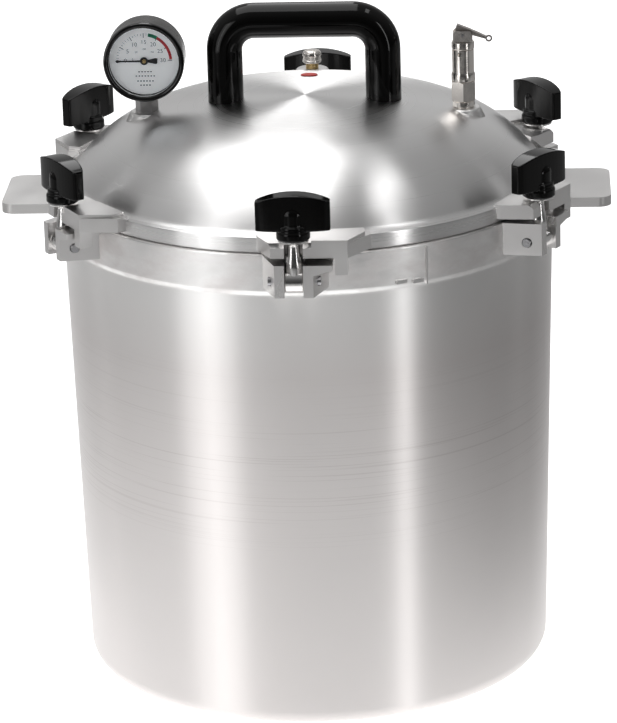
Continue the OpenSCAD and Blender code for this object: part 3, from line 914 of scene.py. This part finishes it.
def gauge_case():
    """Cup of the case, open to the front."""
    r, front, back, wall = GAUGE_R - 0.6, GAUGE_FRONT + 4.4, GAUGE_BACK, 1.6
    outside = [(0, back), (r - 2.5, back), (r - 0.8, back - 0.8), (r, back - 2.6), (r, front)]
    inside = [(r - wall, front), (r - wall, back - wall), (0, back - wall)]
    return lathe(scaled(outside + inside), 128, closed=False)


def gauge_bezel():
    """Rounded ring round the lens."""
    r, inner = GAUGE_R, DIAL_R
    inside = [(inner, 4.6), (inner, 1.6), (inner + 0.5, 0.7), (inner + 1.6, 0.1)]
    outside = [(r - 1.6, 0), (r - 0.5, 0.4), (r, 1.4), (r, 4.2), (r - 0.3, 4.6)]
    return moved(lathe(scaled(inside + outside), 128), lift(GAUGE_FRONT * MM))


def build_gauge():
    plate_r, lens_z = DIAL_R - 0.1, GAUGE_FRONT + 1.2
    dial = lathe(rectangle(1.2, plate_r, -DIAL_Y, 0.8 - DIAL_Y), 96)
    lens = cylinder(plate_r * MM, lens_z * MM, (lens_z + 1.4) * MM, 96)
    for node, shape, slot, material in (
        ("gauge_case", gauge_case(), "black_painted_case", CASE),
        ("gauge_bezel", gauge_bezel(), "black_painted_case", BEZEL),
        ("gauge_lens", lens, "clear_glass", GLASS),
        ("gauge_dial", dial, "dial_white", DIAL),
    ):
        dress(to_object(f"{node}_shape", shape, GAUGE_AXIS), "lid", slot, material, replaces=[node])
    for name, shape, material in (
        ("dial_marks", dial_marks(), PRINT),
        ("dial_green_arc", dial_band(10, 29.5, 17.4, 19.9), GREEN),
        ("dial_red_arc", dial_band(30, 88, 17.6, 19.6), RED),
    ):
        dress(to_object(name, shape, GAUGE_FACE), "lid", "dial_white", material)
    build_pointer()


def build_pointer():
    """Needle with its disc and spindle, and the brass hub on it, turned to zero."""
    z = DIAL_Y + 1.6
    edge = [(-19, 1.1), (-16.6, 0.45), (-2, 0.7), (2, 0.8), (8.6, 2.2), (9.4, 1.4)]
    outline = [(-20.2, 0)] + edge + [(x, -y) for x, y in edge[::-1]]
    needle = prism(scaled(outline), z * MM, (z + 0.5) * MM)
    disc = [(0, z - 0.6), (2.7, z - 0.6), (2.9, z), (2.6, z + 0.7), (0, z + 0.9)]
    spindle = cylinder(0.95 * MM, -1.2 * MM, z * MM, 24)
    pointer = combined(needle, lathe(scaled(disc), 40, closed=False), spindle)
    obj = to_object("gauge_pointer_shape", pointer, GAUGE_FACE)
    dress(obj, "pointer", "pointer_black", INK, replaces=["gauge_pointer"])
    cap = [(0, z + 1.5), (1.0, z + 1.4), (1.5, z + 0.9), (1.6, z + 0.5), (0, z + 0.5)]
    hub = to_object("gauge_pointer_hub", lathe(scaled(cap), 32, closed=False), GAUGE_FACE)
    dress(hub, "pointer", "brass", BRASS)


# ---------------------------------------------------------------- relief valve


def hexagon(across, z0, z1, chamfer, turn):
    """A hexagonal nut, sized across its corners, with the usual rounded chamfer at both ends."""
    r = across / 2
    corners = arc(0, 0, r, turn, turn + 300, 5)
    low_edge = [(0, z0), (r - chamfer, z0), (r, z0 + 0.6 * chamfer)]
    high_edge = [(r, z1 - 0.6 * chamfer), (r - chamfer, z1), (0, z1)]
    cone = lathe(scaled(low_edge + high_edge), 64, closed=False)
    return cut(prism(scaled(corners), z0 * MM, z1 * MM), cone, keep=True)


def valve_body():
    """Body of the valve above its boss, at z = 0: stub, nut, hexagon and a barrel with two side holes."""
    stub = lathe(scaled([(4.98, -12), (4.98, 1), (0, 1), (0, -12)]), 40, closed=False)
    ring = [(0, 0), (7.2, 0), (7.8, 0.8), (7.8, 4.2), (7.2, 5), (0, 5)]
    collar = [(0, 18), (8.0, 19), (8.4, 19.6), (8.4, 23.6), (7.9, 24.8)]
    barrel = [(7.7, 25.4), (7.7, 41.6), (6.4, 42.2), (0, 42.2)]
    shape = combined(
        stub, lathe(scaled(ring), 48, closed=False), hexagon(19, 5, 19, 1.1, 30),
        lathe(scaled(collar + barrel), 64, closed=False),
    )
    sideways = Matrix.Rotation(math.radians(90), 4, "Y")
    for angle in (-108, 72):
        place = lift(39 * MM) @ Matrix.Rotation(math.radians(angle), 4, "Z")
        shape = cut(shape, moved(cylinder(1.5 * MM, 3 * MM, 12 * MM, 24), place @ sideways))
    return shape


def valve_cap():
    """Ring on top of the barrel, with two ears for the lever's pin."""
    ring = [(0, 42), (7.7, 42), (8.1, 42.5), (8.1, 46.4), (7.7, 47), (0, 47)]
    ear = [(-6.8, 46), (6.8, 46), (6.8, 52.5), (5.4, 55), (-5, 55.5), (-6.8, 53.5)]
    half = 1.2
    ears = [
        moved(prism(scaled(ear), (y - half) * MM, (y + half) * MM, 0.3 * MM), UPRIGHT)
        for y in (-3.9, 3.9)
    ]
    return combined(lathe(scaled(ring), 64, closed=False), *ears)


def test_lever():
    """Lever about its pin, which is at the origin: a bar with a rounded heel and an eye at its end."""
    side = [(-6, 1.2), (-6, 5), (2, 4.9), (10, 4.4), (16.4, 3.8), (16.4, 2.4), (9, 1.8), (2.2, 1.2)]
    heel = [(2, -1.6), (0.8, -2), (-0.8, -2), (-2, -1.6), (-2.2, 1.2)]
    bar = prism(scaled(side + heel), -2.4 * MM, 2.4 * MM, 0.35 * MM)
    eye = lathe(rectangle(1.3, 2.4, -0.7, 0.7), 32)
    return combined(bar, moved(eye, Matrix.Translation((18.3 * MM, 3.1 * MM, 0))))


def build_valve():
    at = Matrix.Translation((VALVE_X, 0, BOSS_Z))
    obj = to_object("relief_valve_shape", valve_body(), at)
    dress(obj, "lid", "nickel_plate", NICKEL, replaces=["relief_valve_body"])
    obj = to_object("relief_cap_shape", valve_cap(), at)
    dress(obj, "lid", "nickel_plate", NICKEL, replaces=["relief_valve_cap"])

    pivot = Vector(joint("lever_lift")["pos_m"])
    slope = Matrix.Rotation(math.radians(21), 4, "Y")
    obj = to_object("lift_lever_shape", test_lever(), Matrix.Translation(pivot) @ slope @ UPRIGHT)
    dress(obj, "lever", "nickel_plate", LEVER, replaces=["lift_lever"])

    spring_top = BOSS_Z + 41.4 * MM
    coil = spring(3.9 * MM, 0.6 * MM, BOSS_Z + 21.6 * MM, spring_top, 7)
    obj = to_object("valve_spring_coil", coil, Matrix.Translation((VALVE_X, 0, 0)))
    dress(obj, "lid", "pin_steel", DULL_STEEL, replaces=["valve_spring"])
    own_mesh(obj)


def spring(r, wire, z0, z1, turns):
    """A coil of round wire about the z axis."""
    steps = turns * 24
    up = Vector((0, 0, 1))
    rings = []
    for i in range(steps + 1):
        a = 2 * math.pi * turns * i / steps
        out = Vector((math.cos(a), math.sin(a), 0))
        height = z0 + wire + (z1 - z0 - 2 * wire) * i / steps
        rings.append((r * out + height * up, out, up))
    return tube(rings, wire, 10)


# ---------------------------------------------------------------- vent, weight and plug


PLUG_Y = 66                       # how far behind the axis the overpressure plug sits, in millimetres


def vent_pipe():
    """Vent pipe above its boss, at z = 0, with a bore all through."""
    outside = [(3.48, -12), (3.48, 0), (4.6, 0.4), (4.6, 3.4), (4.2, 4), (2.6, 4), (2.6, 11.4), (2.0, 12)]
    return lathe(scaled([(1.3, -12)] + outside + [(1.3, 12)]), 40)


def regulator_weight():
    """Regulator weight with its base at z = 0: a waisted ring, a crown and a blind hole from below."""
    flank = [(2.7, 0), (6.3, 0), (6.8, 0.6), (6.8, 2), (6.3, 2.4), (6.3, 4.6), (6.8, 5)]
    crown = [(6.8, 6.6), (6.2, 7.8), (5.2, 8.8), (4.4, 9.1), (0, 9.1), (0, 8), (2.7, 8)]
    return lathe(scaled(flank + crown), 64, closed=False)


def build_rear():
    obj = to_object("vent_pipe_shape", vent_pipe(), Matrix.Translation((0, VENT_Y, BOSS_Z)))
    dress(obj, "lid", "brass", BRASS, replaces=["vent_pipe"])
    on_pipe = Matrix.Translation((0, VENT_Y, low("regulator_weight").z))
    obj = to_object("regulator_weight_shape", regulator_weight(), on_pipe)
    dress(obj, "weight", "nickel_plate", NICKEL, replaces=["regulator_weight"])

    tilt = math.asin(PLUG_Y / LID_CROWN_R)
    seat = Matrix.Translation((0, PLUG_Y * MM, dome_z(PLUG_Y) * MM)) @ Matrix.Rotation(-tilt, 4, "X")
    head = [(5.9, 0.3), (6.1, 0.5), (5.9, 0.9), (5.2, 1.2), (0, 1.2)]
    plug = lathe(scaled([(0, -9), (3.98, -9), (3.98, 0.3)] + head), 48, closed=False)
    obj = to_object("overpressure_plug_shape", plug, seat)
    dress(obj, "plug", "red_rubber", RUBBER, replaces=["overpressure_plug"])


def dress_cad_nodes():
    """The CAD nodes that stay as they are, with their materials."""
    kept = {
        "hinge_pins": DULL_STEEL,
        "rack": RACK,
        "handle_screws": STEEL,
        "gauge_stem": NECK,
        "bourdon_tube": BRASS,
        "gauge_movement": BRASS,
        "valve_stem": BRASS,
        "lever_pin": DULL_STEEL,
    }
    kept.update({f"nut_insert_{k}": BRASS for k in CLAMPS})
    for name, material in kept.items():
        mesh = frame["nodes"][name].data
        mesh.materials.clear()
        mesh.materials.append(material)


# ---------------------------------------------------------------- floor, light and camera


def area_light(name, place, aim, size, radiance):
    """A rectangular light of an even radiance, which the camera doesn't see."""
    data = bpy.data.lights.new(name, "AREA")
    data.shape = "RECTANGLE"
    data.size, data.size_y = size
    data.energy = radiance * math.pi * size[0] * size[1]
    obj = bpy.data.objects.new(name, data)
    obj.location = place
    obj.rotation_euler = (Vector(aim) - obj.location).to_track_quat("-Z", "Y").to_euler()
    obj.visible_camera = False
    bpy.context.scene.collection.objects.link(obj)


def window(name, azimuth, reach, width, low_z, high_z, radiance):
    """An upright light at an azimuth from the front, in degrees, facing the pot."""
    a = math.radians(azimuth)
    x, y, z = reach * math.sin(a), -reach * math.cos(a), (low_z + high_z) / 2
    area_light(name, (x, y, z), (0, 0, z), (width, high_z - low_z), radiance)


def studio_world():
    """A grey room: dark low down, in front and to the right, lighter overhead, to the left and behind."""
    world = bpy.data.worlds.new("studio")
    world.use_nodes = True
    tree = world.node_tree
    split = tree.nodes.new("ShaderNodeSeparateXYZ")
    tree.links.new(tree.nodes.new("ShaderNodeTexCoord").outputs["Generated"], split.inputs[0])

    def ramp(axis, *limits):
        node = tree.nodes.new("ShaderNodeMapRange")
        tree.links.new(split.outputs[axis], node.inputs["Value"])
        for socket, value in zip(("From Min", "From Max", "To Min", "To Max"), limits):
            node.inputs[socket].default_value = value
        return node.outputs[0]

    def combined_by(operation, *outputs):
        node = tree.nodes.new("ShaderNodeMath")
        node.operation = operation
        for socket, output in zip(node.inputs, outputs):
            tree.links.new(output, socket)
        return node.outputs[0]

    height, side = ramp(2, -0.25, 0.7, 0.05, 0.42), ramp(0, -1, 1, 1.1, 0.6)
    front, back = ramp(1, -0.9, -0.1, 0.3, 1), ramp(1, 0.6, 1, 0, 0.3)
    room = combined_by("MULTIPLY", combined_by("MULTIPLY", height, side), front)
    background = tree.nodes["Background"]
    background.inputs["Color"].default_value = (1, 1, 1, 1)
    tree.links.new(combined_by("ADD", room, back), background.inputs["Strength"])
    return world


def build_stage():
    half = 6 / MM
    floor = to_object("floor", prism(rectangle(-half, half, -half, half), -20 * MM, -0.2 * MM))
    floor.data.materials.append(floor_white())
    scene = bpy.context.scene
    scene.world = studio_world()
    scene.view_settings.view_transform = "Standard"
    # Each window's azimuth, reach, width, lower and upper edge, and radiance
    window("left_window", -44, 2.0, 0.90, 0.0, 1.6, 1.35)
    window("left_core", -43, 1.9, 0.03, 0.1, 1.5, 8)
    window("right_strip", 44.5, 2.0, 0.17, 0.0, 1.6, 4.6)
    window("low_left", -110, 2.2, 0.04, 0.6, 1.4, 4.4)
    window("low_right", 115, 2.2, 0.04, 0.6, 1.4, 3)
    ceiling = 2.1
    area_light("overhead", (-0.38, 0.35, ceiling), (-0.38, 0.35, 0), (1.25, 1.9), 2.0)
    area_light("overhead_back", (-0.22, 2.2, ceiling), (-0.22, 2.2, 0), (0.5, 1.8), 2.2)
    area_light("overhead_right", (0.78, -0.1, ceiling), (0.78, -0.1, 0), (0.22, 0.9), 3.2)


CAMERA_PLACE = Vector((0.1557, -2.8596, 1.1847))
CAMERA_TURN, CAMERA_PITCH, CAMERA_ROLL = 0.0553, -0.327, -0.0279      # radians


def build_camera():
    data = bpy.data.cameras.new("camera")
    data.sensor_width = 36
    data.lens = 209.82
    data.clip_start = 0.1
    data.clip_end = 50
    obj = bpy.data.objects.new("camera", data)
    turn = Matrix.Rotation(CAMERA_TURN, 4, "Z")
    tip = Matrix.Rotation(math.pi / 2 + CAMERA_PITCH, 4, "X")
    roll = Matrix.Rotation(CAMERA_ROLL, 4, "Z")
    obj.matrix_world = Matrix.Translation(CAMERA_PLACE) @ turn @ tip @ roll
    bpy.context.scene.collection.objects.link(obj)
    bpy.context.scene.camera = obj


build_pot()
build_clamps()
build_lid()
build_handle()
build_gauge()
build_valve()
build_rear()
dress_cad_nodes()
build_stage()
build_camera()
